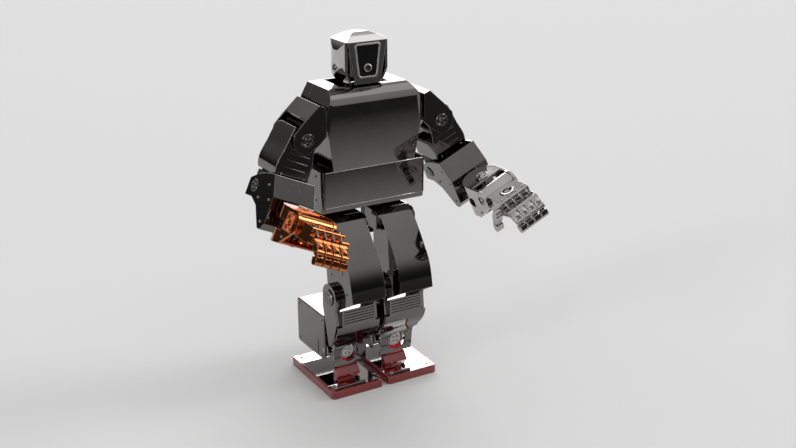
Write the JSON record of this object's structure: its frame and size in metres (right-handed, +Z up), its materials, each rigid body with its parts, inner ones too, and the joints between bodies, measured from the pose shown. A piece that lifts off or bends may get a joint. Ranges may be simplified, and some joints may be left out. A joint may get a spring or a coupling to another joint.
{
  "type": "humanoid robot kit",
  "caption": "Standing humanoid robot with mirror-bright covers, jointed neck, arms, hands and legs, and flat square feet.",
  "frame": {"origin": "on the ground, in the middle of the four screw holes of the two soles", "axes": "+Z up, the face looks to -Y, +X to the left side of the robot"},
  "size_m": [0.3, 0.2264, 0.409],
  "materials": {
    "dark_chrome": "mirror polished",
    "copper_chrome": "mirror polished copper tone",
    "servo_black": "satin",
    "visor_black": "glossy",
    "lens_glass": "clear",
    "red_foot": "translucent gloss",
    "mirror_plate": "mirror"
  },
  "bodies": {
    "torso": {"chest_shell": "dark_chrome", "back_cover": "dark_chrome", "waist_housing": "dark_chrome", "hip_plate": "dark_chrome", "battery_pack": "servo_black", "shoulder_servos": "servo_black", "hip_servos": "servo_black"},
    "neck": {"neck_bracket": "dark_chrome"},
    "head": {"head_shell": "dark_chrome", "face_plate": "visor_black", "camera_lens": "lens_glass"},
    "left_shoulder": {"left_shoulder_yoke": "dark_chrome"},
    "left_upper_arm": {"left_upper_arm_shell": "dark_chrome", "left_upper_arm_servos": "servo_black"},
    "left_forearm": {"left_elbow_link": "dark_chrome"},
    "left_wrist": {"left_wrist_housing": "dark_chrome"},
    "left_hand": {"left_palm": "dark_chrome"},
    "left_fingers": {"left_index_lower": "dark_chrome", "left_middle_lower": "dark_chrome", "left_ring_lower": "dark_chrome", "left_little_lower": "dark_chrome"},
    "left_fingertips": {"left_index_tip": "dark_chrome", "left_middle_tip": "dark_chrome", "left_ring_tip": "dark_chrome", "left_little_tip": "dark_chrome"},
    "left_thumb": {"left_thumb_lower": "dark_chrome"},
    "left_thumb_end": {"left_thumb_tip": "dark_chrome"},
    "left_hip": {"left_hip_bracket": "dark_chrome"},
    "left_thigh": {"left_thigh_shell": "dark_chrome", "left_thigh_servos": "servo_black"},
    "left_shin": {"left_shin_frame": "dark_chrome", "left_calf_housing": "dark_chrome"},
    "left_ankle": {"left_ankle_block": "servo_black"},
    "left_foot": {"left_foot_base": "red_foot", "left_foot_plate": "mirror_plate"},
    "right_shoulder": {"right_shoulder_yoke": "dark_chrome"},
    "right_upper_arm": {"right_upper_arm_shell": "dark_chrome", "right_upper_arm_servos": "servo_black"},
    "right_forearm": {"right_elbow_link": "dark_chrome"},
    "right_wrist": {"right_wrist_housing": "copper_chrome"},
    "right_hand": {"right_palm": "copper_chrome"},
    "right_fingers": {"right_index_lower": "copper_chrome", "right_middle_lower": "copper_chrome", "right_ring_lower": "copper_chrome", "right_little_lower": "copper_chrome"},
    "right_fingertips": {"right_index_tip": "copper_chrome", "right_middle_tip": "copper_chrome", "right_ring_tip": "copper_chrome", "right_little_tip": "copper_chrome"},
    "right_thumb": {"right_thumb_lower": "copper_chrome"},
    "right_thumb_end": {"right_thumb_tip": "copper_chrome"},
    "right_hip": {"right_hip_bracket": "dark_chrome"},
    "right_thigh": {"right_thigh_shell": "dark_chrome", "right_thigh_servos": "servo_black"},
    "right_shin": {"right_shin_frame": "dark_chrome", "right_calf_housing": "dark_chrome"},
    "right_ankle": {"right_ankle_block": "servo_black"},
    "right_foot": {"right_foot_base": "red_foot", "right_foot_plate": "mirror_plate"}
  },
  "joints": [
    {"name": "neck_pan", "type": "hinge", "parent": "torso", "child": "neck", "pos_m": [0, 0.004, 0.347], "axis": [0, 0, 1], "range_deg": [-70, 70]},
    {"name": "head_tilt", "type": "hinge", "parent": "neck", "child": "head", "pos_m": [0, 0.004, 0.372], "axis": [1, 0, 0], "range_deg": [-12, 3]},
    {"name": "left_shoulder_pitch", "type": "hinge", "parent": "torso", "child": "left_shoulder", "pos_m": [0.0615, -0.012, 0.322], "axis": [-1, 0, 0], "range_deg": [-25, 90]},
    {"name": "left_shoulder_roll", "type": "hinge", "parent": "left_shoulder", "child": "left_upper_arm", "pos_m": [0.0845, 0, 0.305], "axis": [0, -1, 0], "range_deg": [-12, 50]},
    {"name": "left_elbow", "type": "hinge", "parent": "left_upper_arm", "child": "left_forearm", "pos_m": [0.11114, -0.01, 0.24571], "axis": [-0.9121, 0, -0.4099], "range_deg": [-60, 12]},
    {"name": "left_forearm_yaw", "type": "hinge", "parent": "left_forearm", "child": "left_wrist", "pos_m": [0.11955, -0.082, 0.22701], "axis": [0.4099, 0, -0.9121], "range_deg": [-5, 85]},
    {"name": "left_wrist_pitch", "type": "hinge", "parent": "left_wrist", "child": "left_hand", "pos_m": [0.11606, -0.105, 0.23477], "axis": [0.9121, 0, 0.4099], "range_deg": [-30, 45]},
    {"name": "left_finger_curl", "type": "hinge", "parent": "left_hand", "child": "left_fingers", "pos_m": [0.11811, -0.15, 0.23021], "axis": [0.9121, 0, 0.4099], "range_deg": [-38, 35]},
    {"name": "left_fingertip_curl", "type": "hinge", "parent": "left_fingers", "child": "left_fingertips", "pos_m": [0.1214, -0.16024, 0.22291], "axis": [0.9121, 0, 0.4099], "range_deg": [-30.4, 28]},
    {"name": "left_thumb_swing", "type": "hinge", "parent": "left_hand", "child": "left_thumb", "pos_m": [0.09522, -0.137, 0.22211], "axis": [-0.9121, 0, -0.4099], "range_deg": [-10, 60]},
    {"name": "left_thumb_end_curl", "type": "hinge", "parent": "left_thumb", "child": "left_thumb_end", "pos_m": [0.10065, -0.12996, 0.21003], "axis": [-0.9121, 0, -0.4099], "range_deg": [-5, 30]},
    {"name": "left_hip_roll", "type": "hinge", "parent": "torso", "child": "left_hip", "pos_m": [0.031, 0, 0.193], "axis": [0, -1, 0], "range_deg": [0, 30]},
    {"name": "left_hip_pitch", "type": "hinge", "parent": "left_hip", "child": "left_thigh", "pos_m": [0.031, -0.02, 0.193], "axis": [-1, 0, 0], "range_deg": [-20, 60]},
    {"name": "left_knee", "type": "hinge", "parent": "left_thigh", "child": "left_shin", "pos_m": [0.031, -0.03, 0.115], "axis": [1, 0, 0], "range_deg": [0, 55]},
    {"name": "left_ankle_pitch", "type": "hinge", "parent": "left_shin", "child": "left_ankle", "pos_m": [0.0323, -0.006, 0.0385], "axis": [1, 0, 0], "range_deg": [-6, 10]},
    {"name": "left_ankle_roll", "type": "hinge", "parent": "left_ankle", "child": "left_foot", "pos_m": [0.0323, -0.017, 0.0385], "axis": [0, -1, 0], "range_deg": [-4, 7]},
    {"name": "right_shoulder_pitch", "type": "hinge", "parent": "torso", "child": "right_shoulder", "pos_m": [-0.0615, -0.012, 0.322], "axis": [-1, 0, 0], "range_deg": [-25, 90]},
    {"name": "right_shoulder_roll", "type": "hinge", "parent": "right_shoulder", "child": "right_upper_arm", "pos_m": [-0.0845, 0, 0.305], "axis": [0, 1, 0], "range_deg": [-12, 50]},
    {"name": "right_elbow", "type": "hinge", "parent": "right_upper_arm", "child": "right_forearm", "pos_m": [-0.11114, -0.01, 0.24571], "axis": [-0.9121, 0, 0.4099], "range_deg": [-60, 12]},
    {"name": "right_forearm_yaw", "type": "hinge", "parent": "right_forearm", "child": "right_wrist", "pos_m": [-0.11955, -0.082, 0.22701], "axis": [0.4099, 0, 0.9121], "range_deg": [-5, 85]},
    {"name": "right_wrist_pitch", "type": "hinge", "parent": "right_wrist", "child": "right_hand", "pos_m": [-0.11606, -0.105, 0.23477], "axis": [0.9121, 0, -0.4099], "range_deg": [-30, 45]},
    {"name": "right_finger_curl", "type": "hinge", "parent": "right_hand", "child": "right_fingers", "pos_m": [-0.11811, -0.15, 0.23021], "axis": [0.9121, 0, -0.4099], "range_deg": [-38, 35]},
    {"name": "right_fingertip_curl", "type": "hinge", "parent": "right_fingers", "child": "right_fingertips", "pos_m": [-0.1214, -0.16024, 0.22291], "axis": [0.9121, 0, -0.4099], "range_deg": [-30.4, 28]},
    {"name": "right_thumb_swing", "type": "hinge", "parent": "right_hand", "child": "right_thumb", "pos_m": [-0.09522, -0.137, 0.22211], "axis": [-0.9121, 0, 0.4099], "range_deg": [-10, 60]},
    {"name": "right_thumb_end_curl", "type": "hinge", "parent": "right_thumb", "child": "right_thumb_end", "pos_m": [-0.10065, -0.12996, 0.21003], "axis": [-0.9121, 0, 0.4099], "range_deg": [-5, 30]},
    {"name": "right_hip_roll", "type": "hinge", "parent": "torso", "child": "right_hip", "pos_m": [-0.031, 0, 0.193], "axis": [0, 1, 0], "range_deg": [0, 30]},
    {"name": "right_hip_pitch", "type": "hinge", "parent": "right_hip", "child": "right_thigh", "pos_m": [-0.031, -0.02, 0.193], "axis": [-1, 0, 0], "range_deg": [-20, 60]},
    {"name": "right_knee", "type": "hinge", "parent": "right_thigh", "child": "right_shin", "pos_m": [-0.031, -0.03, 0.115], "axis": [1, 0, 0], "range_deg": [0, 55]},
    {"name": "right_ankle_pitch", "type": "hinge", "parent": "right_shin", "child": "right_ankle", "pos_m": [-0.0323, -0.006, 0.0385], "axis": [1, 0, 0], "range_deg": [-6, 10]},
    {"name": "right_ankle_roll", "type": "hinge", "parent": "right_ankle", "child": "right_foot", "pos_m": [-0.0323, -0.017, 0.0385], "axis": [0, 1, 0], "range_deg": [-4, 7]}
  ],
  "couplings": [
    {"joint": "left_fingertip_curl", "follows": "left_finger_curl", "ratio": 0.8},
    {"joint": "left_thumb_end_curl", "follows": "left_thumb_swing", "ratio": 0.5},
    {"joint": "right_fingertip_curl", "follows": "right_finger_curl", "ratio": 0.8},
    {"joint": "right_thumb_end_curl", "follows": "right_thumb_swing", "ratio": 0.5}
  ]
}
